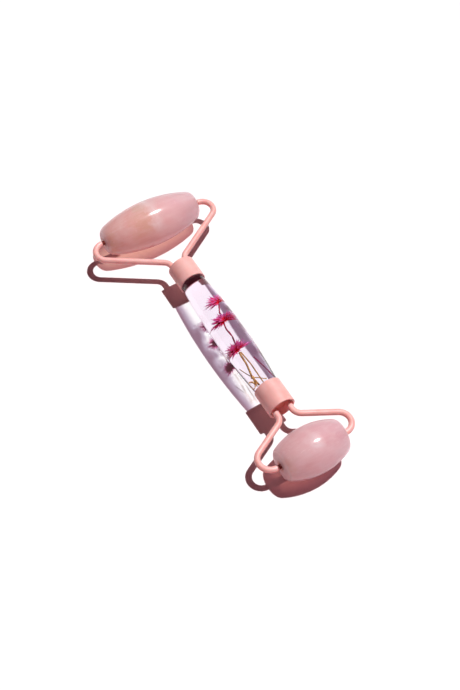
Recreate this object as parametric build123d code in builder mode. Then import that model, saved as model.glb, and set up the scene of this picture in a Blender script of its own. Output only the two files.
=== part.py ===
"""A two-ended face roller: two quartz rollers in wire frames on a clear resin handle.

The roller lies flat on its two stones.  The origin is on the surface that it rests on, midway
between the stones, +Y runs along the handle towards the large stone and +Z is up.
"""
import os
from math import cos, pi, radians, sin, sqrt, tan

from build123d import *

os.makedirs("parts", exist_ok=True)

# Layout
STONE_SPACING = 120.0                   # between the two rollers' axes
STONE_RADIUS = 9.35                     # both stones, at the middle of the barrel
AXIS_Z = STONE_RADIUS                   # the handle, the wires and both roller axes lie in one plane
LARGE_Y = STONE_SPACING / 2
SMALL_Y = -STONE_SPACING / 2

# Stones: half length, radius at the end of the barrel's curve, and corner rounding
LARGE_HALF, LARGE_END_RADIUS, LARGE_CORNER = 20.9, 5.2, 3.2
SMALL_HALF, SMALL_END_RADIUS, SMALL_CORNER = 13.3, 6.0, 2.6

# Blind bores in the stones, and the lined bearing that each pin runs in
BORE_RADIUS = 1.45
BORE_DEPTH = 9.0
BUSHING_RADIUS = 1.43
BUSHING_INNER_RADIUS = 0.95
BUSHING_LENGTH = 7.0
BUSHING_RECESS = 0.9
PIN_RADIUS = 0.90
PIN_END_GAP = 0.5                       # between the pin's tip and the bushing's inner end
SHOULDER_GAP = 0.9                      # between the wire's shoulder and the stone's flat end

# Wire frames: where each arm leaves its ferrule, leans outwards and hooks round to the stone
WIRE_RADIUS = 1.2
WIRE_OFFSET = 3.1                       # of the two wires from the handle's axis, in the ferrule
FIRST_BEND = 4.0
LARGE_LEAN, LARGE_HOOK_X, LARGE_HOOK_RADIUS = 32.1, 22.0, 4.4
SMALL_LEAN, SMALL_HOOK_X, SMALL_HOOK_RADIUS = 27.7, 15.0, 4.5
SHOULDER_CHAMFER = 0.3

# Ferrules: thin painted sleeves over the ends of the resin
FERRULE_RADIUS = 5.47
FERRULE_INNER_RADIUS = 4.75
FERRULE_ROUNDING = 0.22
LARGE_FERRULE_RIM, LARGE_FERRULE_EDGE = 34.95, 25.35
SMALL_FERRULE_RIM, SMALL_FERRULE_EDGE = -40.15, -29.50
ENGAGEMENT = 3.6                        # of the resin in each ferrule
PLUG_RADIUS = 4.73
LARGE_RECESS, SMALL_RECESS = 1.8, 2.6   # of each plug below its ferrule's rim
PLUG_HOLE_RADIUS = 1.22

# Handle: a slim barrel of clear resin
HANDLE_END_RADIUS = 4.70
HANDLE_MIDDLE_RADIUS = 6.20
HANDLE_ROUNDING = 0.4

# Dried flowers in the resin: how far right of the axis, how far along it, and the reach of a petal
VIEW_TILT = radians(20)                 # the spray lies in a plane turned this far about the handle
FLOWER_CORE = 1.30
PETAL_START = 1.0                       # inside the core, where a petal begins
PETAL_ROOT = 0.3
PETAL_WIDTH = 0.7
PETAL_THICKNESS = 0.24
GOLDEN_ANGLE = pi * (3 - sqrt(5))


def at(across, along, height=0.0):
    """A point of the spray's tilted plane through the handle's axis."""
    x = across * cos(VIEW_TILT) - height * sin(VIEW_TILT)
    z = across * sin(VIEW_TILT) + height * cos(VIEW_TILT)
    return Vector(x, along, AXIS_Z + z)


def finish(part, name, colour):
    """Label a finished piece, colour it and write it out."""
    part.label = name
    part.color = Color(*colour)
    export_step(part, f"parts/{name}.step")
    return part


ROSE = (0.82, 0.58, 0.60)
PINK = (0.96, 0.70, 0.67)
STEEL = (0.45, 0.30, 0.28)
RESIN = (0.92, 0.90, 0.96, 0.35)
MAGENTA = (0.70, 0.02, 0.25)
STRAW = (0.62, 0.50, 0.25)


# ---------------------------------------------------------------- stones and bushings
def make_stone(name, y, half, end_radius, corner):
    """A barrel turned about its own X axis, with a blind bore in each flat end."""
    axis = Axis((0, y, AXIS_Z), (1, 0, 0))
    with BuildPart() as stone:
        with BuildSketch(Plane.XY.offset(AXIS_Z)):
            with BuildLine():
                crown = ThreePointArc((-half, y + end_radius), (0, y + STONE_RADIUS), (half, y + end_radius))
                Polyline(crown @ 1, (half, y), (-half, y), crown @ 0)
            profile = make_face()
            fillet(profile.vertices().group_by(Axis.Y)[1], radius=corner)
        revolve(axis=axis)
        for side in (-1, 1):
            with BuildSketch(Plane(origin=(side * half, y, AXIS_Z), z_dir=(-side, 0, 0))):
                Circle(BORE_RADIUS)
            extrude(amount=BORE_DEPTH, mode=Mode.SUBTRACT)
    return finish(stone.part, name, ROSE)


def make_bushing(name, y, half, side):
    """The lining of one bore: a plain tube, sunk a little below the stone's end."""
    mouth = side * (half - BUSHING_RECESS)
    with BuildPart() as bushing:
        with BuildSketch(Plane(origin=(mouth, y, AXIS_Z), z_dir=(-side, 0, 0))):
            Circle(BUSHING_RADIUS)
            Circle(BUSHING_INNER_RADIUS, mode=Mode.SUBTRACT)
        extrude(amount=BUSHING_LENGTH)
    return finish(bushing.part, name, STEEL)


large_stone = make_stone("large_stone", LARGE_Y, LARGE_HALF, LARGE_END_RADIUS, LARGE_CORNER)
small_stone = make_stone("small_stone", SMALL_Y, SMALL_HALF, SMALL_END_RADIUS, SMALL_CORNER)
SIDES = {"left": -1, "right": 1}
bushings = []
for side_name, side in SIDES.items():
    bushings.append(make_bushing(f"large_bushing_{side_name}", LARGE_Y, LARGE_HALF, side))
    bushings.append(make_bushing(f"small_bushing_{side_name}", SMALL_Y, SMALL_HALF, side))


# ---------------------------------------------------------------- wire arms
def make_arm(name, side, end, root_y, half, lean, hook_x, hook_radius):
    """One bent wire: straight in its plug, leaning out, hooked back to the stone, with a thin pin."""
    angle = radians(lean)
    tip_y = STONE_SPACING / 2

    def spot(x, y):
        return (side * x, end * y, AXIS_Z)

    def on_arc(centre_x, centre_y, radius, degrees):
        return spot(centre_x + radius * cos(radians(degrees)), centre_y + radius * sin(radians(degrees)))

    hook_y = tip_y - hook_radius
    lean_end_x = hook_x + hook_radius * sin(angle)
    lean_end_y = hook_y - hook_radius * cos(angle)
    corner_y = lean_end_y - (lean_end_x - WIRE_OFFSET) * tan(angle)
    bend_y = corner_y - FIRST_BEND * tan((pi / 2 - angle) / 2)
    bend_x = WIRE_OFFSET + FIRST_BEND
    bend_middle = 180 - (90 - lean) / 2
    shoulder_x = half + SHOULDER_GAP
    pin_end_x = half - BUSHING_RECESS - BUSHING_LENGTH + PIN_END_GAP

    with BuildPart() as arm:
        with BuildLine() as route:
            stem = Line(spot(WIRE_OFFSET, abs(root_y)), spot(WIRE_OFFSET, bend_y))
            first = ThreePointArc(
                stem @ 1,
                on_arc(bend_x, bend_y, FIRST_BEND, bend_middle),
                on_arc(bend_x, bend_y, FIRST_BEND, 90 + lean),
            )
            slope = Line(first @ 1, spot(lean_end_x, lean_end_y))
            hook = ThreePointArc(
                slope @ 1, on_arc(hook_x, hook_y, hook_radius, lean / 2), spot(hook_x, tip_y)
            )
            Line(hook @ 1, spot(shoulder_x, tip_y))
        with BuildSketch(Plane(origin=stem @ 0, z_dir=stem % 0)):
            Circle(WIRE_RADIUS)
        sweep()
        inner_end = arm.faces().filter_by(Axis.X).sort_by(Axis.X)[0 if side > 0 else -1]
        chamfer(inner_end.edges(), length=SHOULDER_CHAMFER)
        with BuildSketch(Plane(origin=spot(shoulder_x, tip_y), z_dir=(-side, 0, 0))):
            Circle(PIN_RADIUS)
        extrude(amount=shoulder_x - pin_end_x)
    return finish(arm.part, name, PINK)


LARGE_PLUG_INNER = LARGE_FERRULE_EDGE + ENGAGEMENT
SMALL_PLUG_INNER = SMALL_FERRULE_EDGE - ENGAGEMENT
arms = []
for side_name, side in SIDES.items():
    arms.append(make_arm(
        f"large_frame_wire_{side_name}", side, 1, LARGE_PLUG_INNER,
        LARGE_HALF, LARGE_LEAN, LARGE_HOOK_X, LARGE_HOOK_RADIUS,
    ))
    arms.append(make_arm(
        f"small_frame_wire_{side_name}", side, -1, SMALL_PLUG_INNER,
        SMALL_HALF, SMALL_LEAN, SMALL_HOOK_X, SMALL_HOOK_RADIUS,
    ))


# ---------------------------------------------------------------- ferrules and plugs
def make_ferrule(name, rim, edge):
    """A thin sleeve from its open rim to the edge that laps the resin."""
    with BuildPart() as ferrule:
        with BuildSketch(Plane(origin=(0, min(rim, edge), AXIS_Z), z_dir=(0, 1, 0))):
            Circle(FERRULE_RADIUS)
            Circle(FERRULE_INNER_RADIUS, mode=Mode.SUBTRACT)
        extrude(amount=abs(rim - edge))
        fillet(ferrule.edges().filter_by(GeomType.CIRCLE), radius=FERRULE_ROUNDING)
    return finish(ferrule.part, name, PINK)


def make_plug(name, inner, outer):
    """The disc glued in a ferrule that carries its two wires."""
    with BuildPart() as plug:
        back = Plane(origin=(0, min(inner, outer), AXIS_Z), x_dir=(1, 0, 0), z_dir=(0, 1, 0))
        with BuildSketch(back):
            Circle(PLUG_RADIUS)
            with Locations((-WIRE_OFFSET, 0), (WIRE_OFFSET, 0)):
                Circle(PLUG_HOLE_RADIUS, mode=Mode.SUBTRACT)
        extrude(amount=abs(outer - inner))
    return finish(plug.part, name, PINK)


large_ferrule = make_ferrule("large_ferrule", LARGE_FERRULE_RIM, LARGE_FERRULE_EDGE)
small_ferrule = make_ferrule("small_ferrule", SMALL_FERRULE_RIM, SMALL_FERRULE_EDGE)
large_plug = make_plug("large_plug", LARGE_PLUG_INNER, LARGE_FERRULE_RIM - LARGE_RECESS)
small_plug = make_plug("small_plug", SMALL_PLUG_INNER, SMALL_FERRULE_RIM + SMALL_RECESS)

# ---------------------------------------------------------------- resin handle
with BuildPart() as handle_rod:
    with BuildSketch(Plane.XY.offset(AXIS_Z)):
        with BuildLine():
            belly = ThreePointArc(
                (HANDLE_END_RADIUS, SMALL_FERRULE_EDGE),
                (HANDLE_MIDDLE_RADIUS, (SMALL_FERRULE_EDGE + LARGE_FERRULE_EDGE) / 2),
                (HANDLE_END_RADIUS, LARGE_FERRULE_EDGE),
            )
            Polyline(
                belly @ 1,
                (HANDLE_END_RADIUS, LARGE_PLUG_INNER),
                (0, LARGE_PLUG_INNER),
                (0, SMALL_PLUG_INNER),
                (HANDLE_END_RADIUS, SMALL_PLUG_INNER),
                belly @ 0,
            )
        make_face()
    revolve(axis=Axis((0, 0, AXIS_Z), (0, 1, 0)))
    ends = handle_rod.faces().filter_by(Axis.Y)
    chamfer(ends.edges(), length=HANDLE_ROUNDING)
finish(handle_rod.part, "handle_rod", RESIN)


# ---------------------------------------------------------------- dried flowers in the resin
def make_flower(name, centre, axis, reach, petals):
    """A round core with pointed ray petals, set by the golden angle and raised in turns."""
    face = Plane(origin=centre, z_dir=axis)
    with BuildPart() as flower:
        with Locations(Location(centre)):
            Sphere(FLOWER_CORE)
        for turn in range(petals):
            around = turn * GOLDEN_ANGLE
            rise = radians(3 + 23 * (turn % 3))
            length = reach * (0.86 + 0.14 * sin(2.4 * turn))
            outwards = face.x_dir * cos(around) + face.y_dir * sin(around)
            along = outwards * cos(rise) + face.z_dir * sin(rise)
            flat = face.z_dir * cos(rise) - outwards * sin(rise)
            with BuildSketch(Plane(origin=centre, x_dir=along, z_dir=flat)):
                Polygon(
                    (PETAL_START, -PETAL_ROOT / 2),
                    (reach * 0.55, -PETAL_WIDTH / 2),
                    (length, 0),
                    (reach * 0.55, PETAL_WIDTH / 2),
                    (PETAL_START, PETAL_ROOT / 2),
                    align=None,
                )
            extrude(amount=PETAL_THICKNESS / 2, both=True)
    return finish(flower.part, name, MAGENTA)


UPPER_FLOWER = at(2.2, 10.6)
MIDDLE_FLOWER = at(0.3, 1.6)
LOWER_FLOWER = at(-0.6, -11.2)
make_flower("upper_flower", UPPER_FLOWER, Vector(-0.1, 1.0, 0.35), 3.4, 21)
make_flower("middle_flower", MIDDLE_FLOWER, Vector(-0.1, 0.9, 0.4), 5.2, 25)
make_flower("lower_flower", LOWER_FLOWER, Vector(-0.4, 0.9, 0.2), 5.0, 25)


def make_stalk(points, radius, bend):
    """A thin round stalk along straight runs joined by arcs."""
    with BuildPart() as stalk:
        with BuildLine():
            if len(points) > 2:
                route = FilletPolyline(*points, radius=bend)
            else:
                route = Line(*points)
        with BuildSketch(Plane(origin=route @ 0, z_dir=route % 0)):
            Circle(radius)
        sweep(path=route)
    return stalk.part


flower_stalk = make_stalk(
    [at(2.2, 9.9), at(1.1, 6.6), at(0.7, 3.6), at(0.1, -1.2), at(0.3, -4.8), at(-0.4, -10.4)],
    radius=0.32, bend=1.8,
)
finish(flower_stalk, "flower_stalk", MAGENTA)

KNOT = at(-1.5, -23.4)
straws = [
    make_stalk([at(-0.6, -12.0), at(-0.8, -17.6), at(-1.5, -23.4), at(-1.2, -27.6)], 0.30, 3.0),
    make_stalk([at(-3.4, -17.4, 0.6), KNOT], 0.18, 1.0),
    make_stalk([KNOT, at(-1.9, -27.6, 0.3)], 0.24, 1.0),
    make_stalk([KNOT, at(-0.2, -25.4, 0.4), at(1.2, -27.4, 0.4)], 0.22, 1.5),
]
with BuildPart() as straw_sprig:
    with Locations(Location(KNOT)):
        Sphere(0.55)
    for straw in straws:
        add(straw)
finish(straw_sprig.part, "straw_sprig", STRAW)

pale_stem = make_stalk([at(-0.2, -12.0, -0.9), at(0.1, -18.5, -0.8), at(0.0, -28.2, -0.6)], 0.16, 8.0)
finish(pale_stem, "pale_stem", STRAW)

with BuildPart() as straw_ring:
    with Locations(Location(at(-2.55, -25.2, -1.2), (0, 20, 0))):
        Torus(major_radius=1.55, minor_radius=0.17)
finish(straw_ring.part, "straw_ring", STRAW)

loose_filament = make_stalk(
    [at(1.4, -16.4, -1.4), at(1.9, -21.0, -1.4), at(2.6, -28.0, -1.2)], radius=0.17, bend=9.0
)
finish(loose_filament, "loose_filament", MAGENTA)
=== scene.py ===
"""Looks of a two-ended rose quartz face roller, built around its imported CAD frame."""

import math
import random

import bmesh
import bpy
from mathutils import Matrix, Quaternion, Vector, noise


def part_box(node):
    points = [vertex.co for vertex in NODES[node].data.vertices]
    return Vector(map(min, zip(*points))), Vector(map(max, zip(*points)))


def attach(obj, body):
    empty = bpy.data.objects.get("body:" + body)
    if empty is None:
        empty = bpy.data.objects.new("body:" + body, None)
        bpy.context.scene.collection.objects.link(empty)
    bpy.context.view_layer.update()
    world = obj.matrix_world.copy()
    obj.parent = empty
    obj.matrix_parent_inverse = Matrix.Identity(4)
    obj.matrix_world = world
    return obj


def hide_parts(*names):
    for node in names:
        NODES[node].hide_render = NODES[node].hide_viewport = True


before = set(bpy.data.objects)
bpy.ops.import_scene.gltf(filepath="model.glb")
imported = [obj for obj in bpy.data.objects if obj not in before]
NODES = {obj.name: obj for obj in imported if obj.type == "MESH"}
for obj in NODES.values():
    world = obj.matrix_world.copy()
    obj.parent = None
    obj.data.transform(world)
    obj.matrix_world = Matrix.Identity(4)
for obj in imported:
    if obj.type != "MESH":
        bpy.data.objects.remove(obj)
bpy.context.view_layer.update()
MM = 0.001


# ------------------------------------------------------------------ helpers
def srgb(red, green, blue):
    """A colour given as 0 to 255 display values, as the linear values that shaders take."""
    def linear(value):
        value /= 255
        return value / 12.92 if value <= 0.04045 else ((value + 0.055) / 1.055) ** 2.4

    return (linear(red), linear(green), linear(blue), 1.0)


class Nodes:
    """Short calls for adding nodes to a tree and linking them."""

    def __init__(self, tree):
        self.tree = tree

    def add(self, kind, links=None, **values):
        made = self.tree.nodes.new(kind)
        for name, value in values.items():
            setattr(made, name, value)
        for socket, source in (links or {}).items():
            self.put(made.inputs[socket], source)
        return made

    def put(self, socket, source):
        if isinstance(source, bpy.types.NodeSocket):
            self.tree.links.new(source, socket)
        else:
            socket.default_value = source

    def math(self, operation, first, second=0.0):
        return self.add("ShaderNodeMath", {0: first, 1: second}, operation=operation).outputs[0]

    def within(self, value, limit):
        """1 where the value is under the limit, 0 elsewhere."""
        return self.math("LESS_THAN", value, limit)

    def blend(self, share, first, second):
        made = self.add("ShaderNodeMix", data_type="RGBA")
        self.put(made.inputs[0], share)
        self.put(made.inputs[6], first)
        self.put(made.inputs[7], second)
        return made.outputs[2]


class Material(Nodes):
    """A node material whose patterns are measured in the shared frame, so they keep their real size."""

    def __init__(self, name):
        self.material = bpy.data.materials.new(name)
        self.material.use_nodes = True
        super().__init__(self.material.node_tree)
        self.shader = self.tree.nodes["Principled BSDF"]
        self.output = self.tree.nodes["Material Output"]

    def set(self, **values):
        for name, value in values.items():
            self.shader.inputs[name.replace("_", " ")].default_value = value

    def place(self, scale=(1, 1, 1)):
        """Where a point is, with the pattern drawn out along the axes whose scale is under 1."""
        where = self.add("ShaderNodeTexCoord").outputs["Object"]
        return self.add("ShaderNodeMapping", {"Vector": where, "Scale": scale}).outputs[0]

    def parts(self):
        """The coordinates of a point, by the names X, Y and Z."""
        where = self.add("ShaderNodeTexCoord").outputs["Object"]
        return self.add("ShaderNodeSeparateXYZ", {"Vector": where}).outputs

    def noise(self, size, detail=3.0, roughness=0.5, distortion=0.0, where=None):
        """Noise whose features are about as large as the size, in metres."""
        links = {
            "Vector": where or self.place(),
            "Scale": 1 / size,
            "Detail": detail,
            "Roughness": roughness,
            "Distortion": distortion,
        }
        return self.add("ShaderNodeTexNoise", links).outputs["Fac"]

    def spread(self, value, low, high, to_low=0.0, to_high=1.0):
        """Carry the range from low to high over to another range, clamped at its ends."""
        links = {"Value": value, "From Min": low, "From Max": high, "To Min": to_low, "To Max": to_high}
        return self.add("ShaderNodeMapRange", links).outputs[0]

    def distance(self, first, second):
        """The length of the line from the origin to a point with these two coordinates."""
        squares = [self.math("POWER", side, 2.0) for side in (first, second)]
        return self.math("SQRT", self.math("ADD", *squares))

    def bump(self, height, distance, strength):
        links = {"Height": height, "Distance": distance, "Strength": strength}
        return self.add("ShaderNodeBump", links).outputs[0]


def dress(material, *names):
    """Give carried-over CAD nodes their finished material."""
    for name in names:
        for slot in NODES[name].material_slots:
            slot.material = material


# ------------------------------------------------------------------ camera
AIM = Vector((-0.0023, -0.0067, 0.00935))
CAMERA_DISTANCE = 0.4583
CAMERA_AZIMUTH = math.radians(34.2)
CAMERA_ELEVATION = math.radians(56.4)
CAMERA_ROLL = math.radians(3.9)
LENS = 63.14                            # mm
SENSOR = 36                             # mm, along the longer side of the picture


def make_camera():
    forward = Vector((
        math.sin(CAMERA_AZIMUTH) * math.cos(CAMERA_ELEVATION),
        math.cos(CAMERA_AZIMUTH) * math.cos(CAMERA_ELEVATION),
        -math.sin(CAMERA_ELEVATION),
    ))
    data = bpy.data.cameras.new("camera")
    data.lens = LENS
    data.sensor_width = SENSOR
    data.clip_start = 0.01
    camera = bpy.data.objects.new("camera", data)
    camera.location = AIM - forward * CAMERA_DISTANCE
    camera.rotation_mode = "QUATERNION"
    level = forward.to_track_quat("-Z", "Y")
    camera.rotation_quaternion = Quaternion(forward, -CAMERA_ROLL) @ level
    bpy.context.scene.collection.objects.link(camera)
    bpy.context.scene.camera = camera


# ------------------------------------------------------------------ light and floor
KEY_TOWARDS = (0.385, 0.09, 1.0)
KEY_SPREAD = math.radians(1.6)
KEY_STRENGTH = 3.65
FILL_TOWARDS = (-0.45, -1.0, 0.65)
FILL_DISTANCE = 1.2
FILL_DIAMETER = 0.7
FILL_POWER = 1.3
FILL_COLOUR = (1.0, 0.40, 0.46)
PALE_ROOM = (0.98, 0.97, 0.97, 1)       # what the eye sees around the floor, directly or through resin
DIM_ROOM = (0.040, 0.008, 0.015, 1)     # what lights the shadows
SOFT_BOUNCE = (0.72, 0.52, 0.55, 1)     # the floor, for light that has already bounced
ONE_BOUNCE = 0.5                        # a ray of a lower Diffuse Depth has not bounced yet
FLOOR_HALF = 3.0
PAPER_LIGHT, PAPER_DEEP = (0.95, 0.95, 0.95, 1), (0.93, 0.93, 0.93, 1)


def shine_from(light, towards):
    """Put a light in the scene, turned so that it shines from this direction at the origin."""
    light.rotation_mode = "QUATERNION"
    light.rotation_quaternion = (-towards).to_track_quat("-Z", "Y")
    bpy.context.scene.collection.objects.link(light)


def make_fill():
    """A weak pink disk on the camera's side."""
    data = bpy.data.lights.new("fill", "AREA")
    data.shape = "DISK"
    data.size = FILL_DIAMETER
    data.energy = FILL_POWER
    data.color = FILL_COLOUR
    light = bpy.data.objects.new("fill", data)
    towards = Vector(FILL_TOWARDS).normalized()
    light.location = towards * FILL_DISTANCE
    shine_from(light, towards)


def make_key():
    """The key light: far away, so that the floor is as bright at a distance as near the roller."""
    data = bpy.data.lights.new("key", "SUN")
    data.angle = KEY_SPREAD
    data.energy = KEY_STRENGTH
    shine_from(bpy.data.objects.new("key", data), Vector(KEY_TOWARDS))


def make_room():
    """A room that looks pale but sheds little light, so that shadows stay as dark as in sunlight."""
    world = bpy.data.worlds.new("studio")
    world.use_nodes = True
    room = Nodes(world.node_tree)
    rays = room.add("ShaderNodeLightPath").outputs
    clear = room.math("MAXIMUM", rays["Is Camera Ray"], rays["Is Transmission Ray"])
    seen = room.math("MULTIPLY", clear, room.within(rays["Diffuse Depth"], ONE_BOUNCE))
    background = room.tree.nodes["Background"]
    room.put(background.inputs["Color"], room.blend(seen, DIM_ROOM, PALE_ROOM))
    bpy.context.scene.world = world


def make_floor():
    paper = Material("pale_paper")
    paper.set(Roughness=0.9)
    pale = paper.blend(paper.noise(0.003), PAPER_DEEP, PAPER_LIGHT)
    bounces = paper.add("ShaderNodeLightPath").outputs["Diffuse Depth"]
    colour = paper.blend(paper.within(bounces, ONE_BOUNCE), SOFT_BOUNCE, pale)
    paper.put(paper.shader.inputs["Base Color"], colour)
    mesh = bpy.data.meshes.new("floor")
    corners = [(x * FLOOR_HALF, y * FLOOR_HALF, 0) for x, y in ((-1, -1), (1, -1), (1, 1), (-1, 1))]
    mesh.from_pydata(corners, [], [(0, 1, 2, 3)])
    mesh.materials.append(paper.material)
    floor = bpy.data.objects.new("floor", mesh)
    bpy.context.scene.collection.objects.link(floor)


def make_studio():
    make_room()
    make_key()
    make_fill()
    make_floor()
    view = bpy.context.scene.view_settings
    view.view_transform = "Standard"
    view.look = "None"


# ------------------------------------------------------------------ materials
AXIS_Z = (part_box("handle_rod")[0].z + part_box("handle_rod")[1].z) / 2
STONE_Y = (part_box("large_stone")[0].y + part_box("large_stone")[1].y) / 2
SHOULDER_GAP = 0.85 * MM                # from a stone's end to the shoulder of its wire
FERRULE_INNER_LIMIT = 4.95 * MM
COAT_LIGHT, COAT_DEEP = srgb(246, 189, 183), srgb(239, 176, 169)
PLUG_LIGHT, PLUG_DEEP = srgb(255, 190, 176), srgb(250, 160, 144)
# painted light: the sleeves' insides get paler colours than the coat, standing in for light that hardly
# reaches them
INSIDE_PAINTED_LIGHT_PALE, INSIDE_PAINTED_LIGHT_DEEP = srgb(255, 226, 222), srgb(252, 206, 198)
# partly a stain, partly painted shade: the colour of the plug's darker top
PLUG_STAIN_AND_SHADE = srgb(238, 116, 74)
# bare pin with painted shade: the colour of the pin where its stone's end shades it
PIN_BARE_AND_SHADED = srgb(132, 52, 40)
PIN_REACH = 1.3 * MM                    # how far a pin is from its stone's axis at most
NYLON_LIGHT, NYLON_DEEP = srgb(150, 66, 48), srgb(112, 44, 34)
FLECK = srgb(240, 208, 208)
GROUND_LIGHT, GROUND_DEEP = srgb(238, 206, 206), srgb(206, 150, 148)
BORE_RIM = srgb(206, 112, 78)
PATCH_EDGE = 1.5 * MM                   # half the width over which a patch in the stone fades
VEIN_WANDER = 1.8 * MM
GROUND_FROM, GROUND_TO = 0.9 * MM, 0.1 * MM     # the stone's ends turn matt over these last parts
RIM_FROM, RIM_TO = 1.5 * MM, 2.6 * MM           # radius over which the stain round a bore fades
LARGE_STONE_GLOW = ((0.70, 0.53, 0.47, 1), (0.50, 0.33, 0.32, 1))
SMALL_STONE_GLOW = ((0.46, 0.26, 0.24, 1), (0.15, 0.05, 0.06, 1))
PETAL_GLOW = (0.80, 0.50, 0.66, 1)
STALK_GLOW = (0.80, 0.72, 0.72, 1)
STRAW_GLOW = (0.95, 0.92, 0.90, 1)
RESIN_TINT = (0.94, 0.86, 0.965, 1)
RESIN_GLOW = ((0.97, 0.97, 0.98, 1), (0.65, 0.61, 0.69, 1), (0.46, 0.38, 0.45, 1))   # middle to edge


def shine_through(m, tint, passing=("Is Shadow Ray",)):
    """Let rays of these kinds pass straight through, tinted; all others meet the material's shader."""
    through = m.add("ShaderNodeBsdfTransparent", {"Color": tint})
    rays = m.add("ShaderNodeLightPath")
    shown = m.shader.outputs[0]
    for kind in passing:
        mix = m.add("ShaderNodeMixShader", {0: rays.outputs[kind]})
        m.put(mix.inputs[1], shown)
        m.put(mix.inputs[2], through.outputs[0])
        shown = mix.outputs[0]
    m.put(m.output.inputs["Surface"], shown)


def rose_quartz(name, stone, body, far_end, cloud, glow, patches):
    """Polished milky quartz: veils and flaws that run through the stone, under a clear shine.

    Each patch is a tint, its share, and where it starts and ends along X and across Y.
    """
    m = Material(name)
    low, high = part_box(stone)
    half = high.x
    x, y, z = m.parts()
    across = m.math("SUBTRACT", y, (low.y + high.y) / 2)
    height = m.math("SUBTRACT", z, AXIS_Z)
    wander = m.spread(m.noise(0.005, 4, 0.6), 0.3, 0.7, -VEIN_WANDER, VEIN_WANDER)
    place = m.math("ADD", x, wander)

    colour = m.blend(m.spread(place, -half * 0.5, half * 0.8), body, far_end)
    drift = m.spread(m.noise(0.014, 5, 0.55, 1.2, m.place((0.6, 1.0, 1.3))), 0.40, 0.68, 0.0, 0.5)
    colour = m.blend(drift, colour, cloud)
    for tint, share, x_from, x_to, y_from, y_to in patches:
        left = m.spread(place, x_from - PATCH_EDGE, x_from + PATCH_EDGE)
        right = m.spread(place, x_to - PATCH_EDGE, x_to + PATCH_EDGE, 1.0, 0.0)
        near = m.spread(across, y_from - PATCH_EDGE, y_from + PATCH_EDGE)
        far = m.spread(across, y_to - PATCH_EDGE, y_to + PATCH_EDGE, 1.0, 0.0)
        inside = m.math("MULTIPLY", m.math("MULTIPLY", left, right), m.math("MULTIPLY", near, far))
        mottle = m.spread(m.noise(0.005, 4, 0.6), 0.3, 0.6, 0.4 * share, share)
        colour = m.blend(m.math("MULTIPLY", inside, mottle), colour, tint)
    streaks = m.spread(m.noise(0.0009, 4, 0.6, 0.6, m.place((0.08, 1.0, 1.0))), 0.46, 0.72, 0.0, 0.30)
    colour = m.blend(streaks, colour, cloud)
    flecks = m.spread(m.noise(0.0022, 5, 0.7, 1.5), 0.60, 0.76, 0.0, 0.4)
    colour = m.blend(flecks, colour, FLECK)

    end = m.spread(m.math("ABSOLUTE", x), half - GROUND_FROM, half - GROUND_TO)
    ground = m.blend(m.noise(0.0009, 4, 0.7), GROUND_LIGHT, GROUND_DEEP)
    colour = m.blend(m.math("MULTIPLY", end, 0.75), colour, ground)
    near_bore = m.spread(m.distance(across, height), RIM_FROM, RIM_TO, 0.8, 0.0)
    rim = m.math("MULTIPLY", end, near_bore)
    colour = m.blend(rim, colour, BORE_RIM)
    m.put(m.shader.inputs["Base Color"], colour)
    smudge = m.spread(m.noise(0.0014, 4, 0.6, 0.6, m.place((0.2, 1.0, 1.0))), 0.35, 0.65, 0.10, 0.20)
    m.put(m.shader.inputs["Roughness"], m.math("MAXIMUM", smudge, m.math("MULTIPLY", end, 0.5)))
    m.shader.subsurface_method = "RANDOM_WALK"
    m.set(
        Subsurface_Weight=1.0,
        Subsurface_Scale=0.045,
        Subsurface_Radius=(0.70, 1.0, 1.0),
        IOR=1.54,
        Specular_IOR_Level=0.3,
        Sheen_Weight=0.6,
        Sheen_Tint=(1.0, 0.86, 0.94, 1.0),
        Sheen_Roughness=0.4,
    )
    edge = m.add("ShaderNodeLayerWeight", {"Blend": 0.5}).outputs["Facing"]
    shine_through(m, m.blend(m.spread(edge, 0.05, 0.50), *glow))
    return m.material


def orange_peel(m, light, deep, roughness):
    """Satin powder coat: a slightly uneven pink with a fine orange-peel surface."""
    tone = m.spread(m.noise(0.004, 3), 0.35, 0.65)
    m.put(m.shader.inputs["Roughness"], m.spread(m.noise(0.0015, 2), 0.3, 0.7, roughness, roughness + 0.1))
    m.put(m.shader.inputs["Normal"], m.bump(m.noise(0.00035, 2), 0.00002, 0.5))
    m.set(
        Subsurface_Weight=0.35,
        Subsurface_Scale=0.0012,
        Subsurface_Radius=(1.0, 0.12, 0.18),
        Coat_Weight=0.15,
        Coat_Roughness=0.3,
    )
    return m.blend(tone, light, deep)


def ferrule_coat():
    """Powder coat; inside the sleeve the colour is painted paler, as painted light where little light
    comes in.
    """
    m = Material("pink_enamel")
    coat = orange_peel(m, COAT_LIGHT, COAT_DEEP, 0.42)
    where = m.parts()
    radius = m.distance(where["X"], m.math("SUBTRACT", where["Z"], AXIS_Z))
    # painted light: the paler colours inside the sleeve stand in for light
    painted_light_lining = m.blend(m.noise(0.002, 4), INSIDE_PAINTED_LIGHT_PALE, INSIDE_PAINTED_LIGHT_DEEP)
    inside = m.within(radius, FERRULE_INNER_LIMIT)
    m.put(m.shader.inputs["Base Color"], m.blend(inside, coat, painted_light_lining))
    return m.material


def wire_coat(name, pin_from):
    """Powder coat up to the shoulder; the pin beyond it is bare, and its dark red-brown is painted shade
    from its stone's end.
    """
    m = Material(name)
    coat = orange_peel(m, COAT_LIGHT, COAT_DEEP, 0.38)
    where = m.parts()
    in_line = m.within(STONE_Y - PIN_REACH, m.math("ABSOLUTE", where["Y"]))
    # painted shade: the pin next to the stone is coloured dark
    pin = m.math("MULTIPLY", in_line, m.within(m.math("ABSOLUTE", where["X"]), pin_from))
    m.put(m.shader.inputs["Base Color"], m.blend(pin, coat, PIN_BARE_AND_SHADED))
    return m.material


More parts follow.
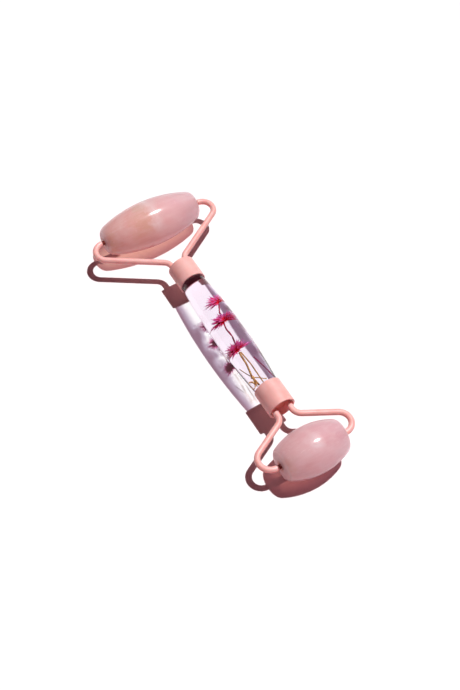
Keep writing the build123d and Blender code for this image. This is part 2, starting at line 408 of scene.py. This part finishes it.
def plug_coat():
    """The painted plug deep in the ferrule, darker above: partly an adhesive stain round the wires, partly
    painted shade under the sleeve's upper wall.
    """
    m = Material("plug_enamel")
    coat = orange_peel(m, PLUG_LIGHT, PLUG_DEEP, 0.5)
    ragged = m.spread(m.noise(0.0016, 4), 0.3, 0.7, -0.8 * MM, 0.8 * MM)
    uneven = m.math("ADD", m.parts()["Z"], ragged)
    # partly a stain, partly painted shade: the plug darkens towards its top
    stain_and_shade = m.spread(uneven, AXIS_Z - 1.5 * MM, AXIS_Z + 1.5 * MM)
    m.put(m.shader.inputs["Base Color"], m.blend(stain_and_shade, coat, PLUG_STAIN_AND_SHADE))
    return m.material


def clear_resin():
    """Clear cast resin with a faint lilac tint.

    Lamps shine through its middle more than its edges, and less in patches among the flowers.
    """
    m = Material("clear_resin")
    m.set(
        Base_Color=RESIN_TINT,
        Transmission_Weight=1.0,
        IOR=1.5,
        Roughness=0.01,
    )
    edge = m.add("ShaderNodeLayerWeight", {"Blend": 0.5}).outputs["Facing"]
    ragged = m.spread(m.noise(0.002, 3, 0.6), 0.3, 0.7, -1.5 * MM, 1.5 * MM)
    place = m.math("ADD", m.parts()["Y"], ragged)
    first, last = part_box("lower_flower")[0].y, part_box("upper_flower")[1].y
    after_first = m.spread(place, first - 2 * MM, first)
    before_last = m.spread(place, last - MM, last, 1.0, 0.0)
    among = m.math("MULTIPLY", after_first, before_last)
    patchy = m.spread(m.noise(0.005, 2, 0.5, 0.0, m.place((1.0, 0.7, 1.0))), 0.47, 0.57)
    edge = m.math("ADD", edge, m.math("MULTIPLY", m.math("MULTIPLY", among, patchy), 0.32))
    middle, ring, rim = RESIN_GLOW
    tint = m.blend(m.spread(edge, 0.01, 0.17), middle, ring)
    tint = m.blend(m.spread(edge, 0.17, 0.50), tint, rim)
    shine_through(m, tint, ("Is Shadow Ray", "Is Diffuse Ray"))
    return m.material


def dull_nylon():
    m = Material("bushing_nylon")
    m.put(m.shader.inputs["Base Color"], m.blend(m.noise(0.0008, 2), NYLON_LIGHT, NYLON_DEEP))
    m.set(Roughness=0.5)
    return m.material


def dried_matter(name, base, tip, glow, roughness=0.7):
    """Dried petals and stalks: darker at the base, paler and streaked towards the tips."""
    m = Material(name)
    along = m.add("ShaderNodeAttribute", attribute_name="along").outputs["Fac"]
    streaks = m.noise(0.0005, 4)
    share = m.math("MULTIPLY", along, m.spread(streaks, 0.3, 0.7, 0.7, 1.25))
    m.put(m.shader.inputs["Base Color"], m.blend(m.spread(share, 0.30, 0.85), base, tip))
    m.put(m.shader.inputs["Normal"], m.bump(streaks, 0.00004, 0.6))
    m.set(Roughness=roughness, Subsurface_Weight=0.3, Subsurface_Scale=0.0006)
    shine_through(m, glow)
    return m.material


# ------------------------------------------------------------------ dried flowers
LEAF_SECTIONS = 7
GOLDEN_ANGLE = math.pi * (3 - math.sqrt(5))
LOWEST_RISE, RISE_RANGE = -10, 82       # degrees that the leaves stand up, from the outermost inwards
PETAL_REACH = 0.89                      # of the handle's radius, so that petals stay inside the resin
SHORTEN = 0.92
RAY_THICKNESS, SCALE_THICKNESS = 0.20 * MM, 0.30 * MM
SCALE_SHADE = 0.12                      # the heart's scales keep the colour of a petal's base
WELD = 0.001 * MM
LONGEST_EDGE = 0.5 * MM
# the film below is coloured dark as painted shade
FILM = 0.04 * MM                        # thickness of the glue film
FILM_RADIUS = 4.66 * MM
FILM_BEVEL = 0.5 * MM
FILM_HOLE = 0.6 * MM
FILM_SECTIONS = 96


def leaf(bm, layer, root, along, across, length, width, thickness, curl, shade=1.0):
    """A thin pointed closed leaf: a lens-shaped section that swells, narrows and bends back."""
    up = along.cross(across).normalized()
    rings = []
    for step in range(LEAF_SECTIONS):
        t = step / LEAF_SECTIONS
        swell = math.sin(math.pi * min(1.0, 0.16 + 0.84 * t) ** 0.8)
        bend = up * (curl * length * t * t)
        centre = root + along * (length * t) + bend
        half = width / 2 * max(swell, 0.12)
        thin = thickness / 2 * (1 - 0.6 * t)
        ring = [centre + across * half, centre + up * thin, centre - across * half, centre - up * thin]
        rings.append([bm.verts.new(point) for point in ring])
        for vert in rings[-1]:
            vert[layer] = t * shade
    tip = bm.verts.new(root + along * length + up * (curl * length))
    tip[layer] = shade
    for near, far in zip(rings, rings[1:]):
        for side in range(4):
            after = (side + 1) % 4
            bm.faces.new((near[side], near[after], far[after], far[side]))
    for side in range(4):
        bm.faces.new((rings[-1][side], rings[-1][(side + 1) % 4], tip))
    bm.faces.new(list(reversed(rings[0])))


def finish_mesh(bm, name, material, body, slot, *replaced):
    """Turn a built mesh into a piece that rides on its body and stands for its CAD nodes."""
    bmesh.ops.recalc_face_normals(bm, faces=bm.faces)
    mesh = bpy.data.meshes.new(name)
    bm.to_mesh(mesh)
    bm.free()
    for face in mesh.polygons:
        face.use_smooth = True
    mesh.materials.append(material)
    piece = bpy.data.objects.new(name, mesh)
    bpy.context.scene.collection.objects.link(piece)
    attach(piece, body)
    if replaced:
        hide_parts(*replaced)


def make_flower(name, node, axis, rays, spread, seed, material):
    """A dried flower head: a tight crimson heart of scales inside many slender pale-tipped rays."""
    low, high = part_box(node)
    centre = (low + high) / 2
    reach = max(high - low) / 2
    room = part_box("handle_rod")[1].x * PETAL_REACH
    axis = Vector(axis).normalized()
    heart = centre - axis * (reach * 0.15)
    turn = axis.to_track_quat("Z", "X")
    chance = random.Random(seed)
    bm = bmesh.new()
    layer = bm.verts.layers.float.new("along")
    scales = rays // 2
    for number in range(scales + rays):
        is_ray = number >= scales
        share = (number - scales + 0.5) / rays if is_ray else (number + 0.5) / scales
        rise = math.radians(LOWEST_RISE + RISE_RANGE * share + chance.uniform(-18, 16))
        around = number * GOLDEN_ANGLE + chance.uniform(-0.3, 0.3)
        along = turn @ Vector((
            math.cos(around) * math.cos(rise), math.sin(around) * math.cos(rise), math.sin(rise)
        ))
        across = Quaternion(along, chance.uniform(-1.6, 1.6)) @ along.orthogonal().normalized()
        root = heart + along * 0.15 * MM
        if is_ray:
            length = reach * spread * (1.0 - 0.2 * share) * chance.uniform(0.62, 1.0)
            while math.hypot(root.x + along.x * length, root.z + along.z * length - AXIS_Z) > room:
                length *= SHORTEN
            width = chance.uniform(0.42, 0.74) * MM
            curl = chance.uniform(-0.16, 0.2)
            leaf(bm, layer, root, along, across, length, width, RAY_THICKNESS, curl)
        else:
            length = reach * chance.uniform(0.34, 0.56)
            width = chance.uniform(0.65, 0.95) * MM
            leaf(bm, layer, root, along, across, length, width, SCALE_THICKNESS, 0.1, SCALE_SHADE)
    finish_mesh(bm, name, material, "handle", "dried_petals", node)


def weather(node, slot, material, thinner, knobble, seed):
    """A stalk as it dries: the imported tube, thinned and made uneven along its length."""
    bm = bmesh.new()
    bm.from_mesh(NODES[node].data)
    bmesh.ops.remove_doubles(bm, verts=bm.verts, dist=WELD)
    for _ in range(5):
        long_edges = [edge for edge in bm.edges if edge.calc_length() > LONGEST_EDGE]
        if not long_edges:
            break
        bmesh.ops.subdivide_edges(bm, edges=long_edges, cuts=1, use_grid_fill=False)
    bmesh.ops.triangulate(bm, faces=bm.faces)
    bm.normal_update()
    layer = bm.verts.layers.float.new("along")
    offset = Vector((seed, 0, 0))
    moved = []
    for vert in bm.verts:
        swell = noise.noise(vert.co / (0.9 * MM) + offset)
        fine = noise.noise(vert.co / (0.25 * MM) + offset)
        vert[layer] = 0.5 + 0.5 * swell
        moved.append(vert.co - vert.normal * (thinner - knobble * (swell + 0.5 * fine)))
    for vert, place in zip(bm.verts, moved):
        vert.co = place
    finish_mesh(bm, node + "_dried", material, "handle", slot, node)


def make_glue_shade_film(name, ferrule, inner_side, material):
    """A film of adhesive between the resin's end and its ferrule, coloured dark as painted shade: through
    the resin it shows as the dark band of the ferrule's shaded inside.
    """
    low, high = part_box(ferrule)
    rod_low, rod_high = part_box("handle_rod")
    mouth = (low.y if inner_side > 0 else high.y) + inner_side * 0.10 * MM
    end = (rod_high.y if inner_side > 0 else rod_low.y) - inner_side * 0.06 * MM
    profile = (
        (FILM_RADIUS, mouth),
        (FILM_RADIUS, end - inner_side * FILM_BEVEL),
        (FILM_RADIUS - FILM_BEVEL, end),
        (FILM_HOLE, end),
        (FILM_HOLE, end - inner_side * FILM),
        (FILM_RADIUS - FILM_BEVEL - FILM, end - inner_side * FILM),
        (FILM_RADIUS - FILM, end - inner_side * 0.6 * MM),
        (FILM_RADIUS - FILM, mouth),
    )
    turns = [math.tau * k / FILM_SECTIONS for k in range(FILM_SECTIONS)]
    bm = bmesh.new()
    rings = [
        [bm.verts.new((radius * math.cos(turn), y, AXIS_Z + radius * math.sin(turn))) for turn in turns]
        for radius, y in profile
    ]
    for near, far in zip(rings, rings[1:] + rings[:1]):
        for k in range(FILM_SECTIONS):
            after = (k + 1) % FILM_SECTIONS
            bm.faces.new((near[k], near[after], far[after], far[k]))
    finish_mesh(bm, name, material, "handle", "plug_enamel")


# ------------------------------------------------------------------ build
make_camera()
make_studio()

quartz_large = rose_quartz(
    "rose_quartz_veined",
    "large_stone",
    body=srgb(215, 155, 148),
    far_end=srgb(219, 168, 176),
    cloud=srgb(226, 184, 182),
    glow=LARGE_STONE_GLOW,
    patches=(
        (srgb(206, 156, 134), 0.65, -10.0 * MM, -1.5 * MM, -8.0 * MM, 0.5 * MM),
        (srgb(200, 174, 152), 0.5, -6.5 * MM, -0.5 * MM, 0.5 * MM, 6.0 * MM),
        (srgb(232, 208, 206), 0.75, -0.8 * MM, 1.8 * MM, -8.0 * MM, 8.0 * MM),
        (srgb(210, 148, 122), 0.6, -21.0 * MM, -17.5 * MM, -7.0 * MM, -1.0 * MM),
    ),
)
quartz_small = rose_quartz(
    "rose_quartz",
    "small_stone",
    body=srgb(217, 163, 165),
    far_end=srgb(213, 161, 169),
    cloud=srgb(228, 192, 196),
    glow=SMALL_STONE_GLOW,
    patches=(
        (srgb(230, 200, 204), 0.8, -2.0 * MM, 2.5 * MM, -5.0 * MM, 1.0 * MM),
        (srgb(216, 152, 124), 0.6, -14.0 * MM, -11.5 * MM, -7.0 * MM, -1.0 * MM),
    ),
)
dress(quartz_large, "large_stone")
dress(quartz_small, "small_stone")

dress(ferrule_coat(), "large_ferrule", "small_ferrule")
for size, stone in (("large", "large_stone"), ("small", "small_stone")):
    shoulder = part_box(stone)[1].x + SHOULDER_GAP
    wires = [name for name in NODES if name.startswith(size + "_frame_wire")]
    dress(wire_coat(size + "_wire_enamel", shoulder), *wires)
dress(plug_coat(), "large_plug", "small_plug")
dress(dull_nylon(), *[name for name in NODES if "bushing" in name])
dress(clear_resin(), "handle_rod")

petal_red = dried_matter("dried_petals", srgb(232, 0, 44), srgb(255, 138, 214), PETAL_GLOW)
stalk_red = dried_matter("dried_stalk", srgb(150, 26, 62), srgb(196, 66, 100), STALK_GLOW)
straw = dried_matter("dried_straw", srgb(158, 100, 44), srgb(222, 178, 106), STRAW_GLOW)
filament_red = dried_matter("dried_filament", srgb(146, 16, 76), srgb(184, 46, 108), STALK_GLOW)
make_flower("upper_flower_petals", "upper_flower", (-0.15, 0.92, 0.35), 120, 1.75, 1, petal_red)
make_flower("middle_flower_petals", "middle_flower", (-0.15, 0.85, 0.50), 140, 1.22, 2, petal_red)
make_flower("lower_flower_petals", "lower_flower", (-0.25, 0.88, 0.40), 140, 1.12, 3, petal_red)
weather("flower_stalk", "dried_stalk", stalk_red, 0.14 * MM, 0.08 * MM, 4)
weather("straw_sprig", "dried_straw", straw, 0.08 * MM, 0.07 * MM, 5)
weather("pale_stem", "dried_straw", straw, 0.03 * MM, 0.04 * MM, 6)
weather("straw_ring", "dried_straw", straw, 0.0, 0.04 * MM, 7)
weather("loose_filament", "dried_filament", filament_red, 0.05 * MM, 0.05 * MM, 8)

# painted shade: the dark film stands in for the shade inside the ferrules, seen through the resin
glue_and_shade = dried_matter("glue_and_painted_shade", srgb(120, 22, 42), srgb(150, 36, 52), STALK_GLOW, 0.5)
make_glue_shade_film("large_glue_shade_film", "large_ferrule", 1, glue_and_shade)
make_glue_shade_film("small_glue_shade_film", "small_ferrule", -1, glue_and_shade)
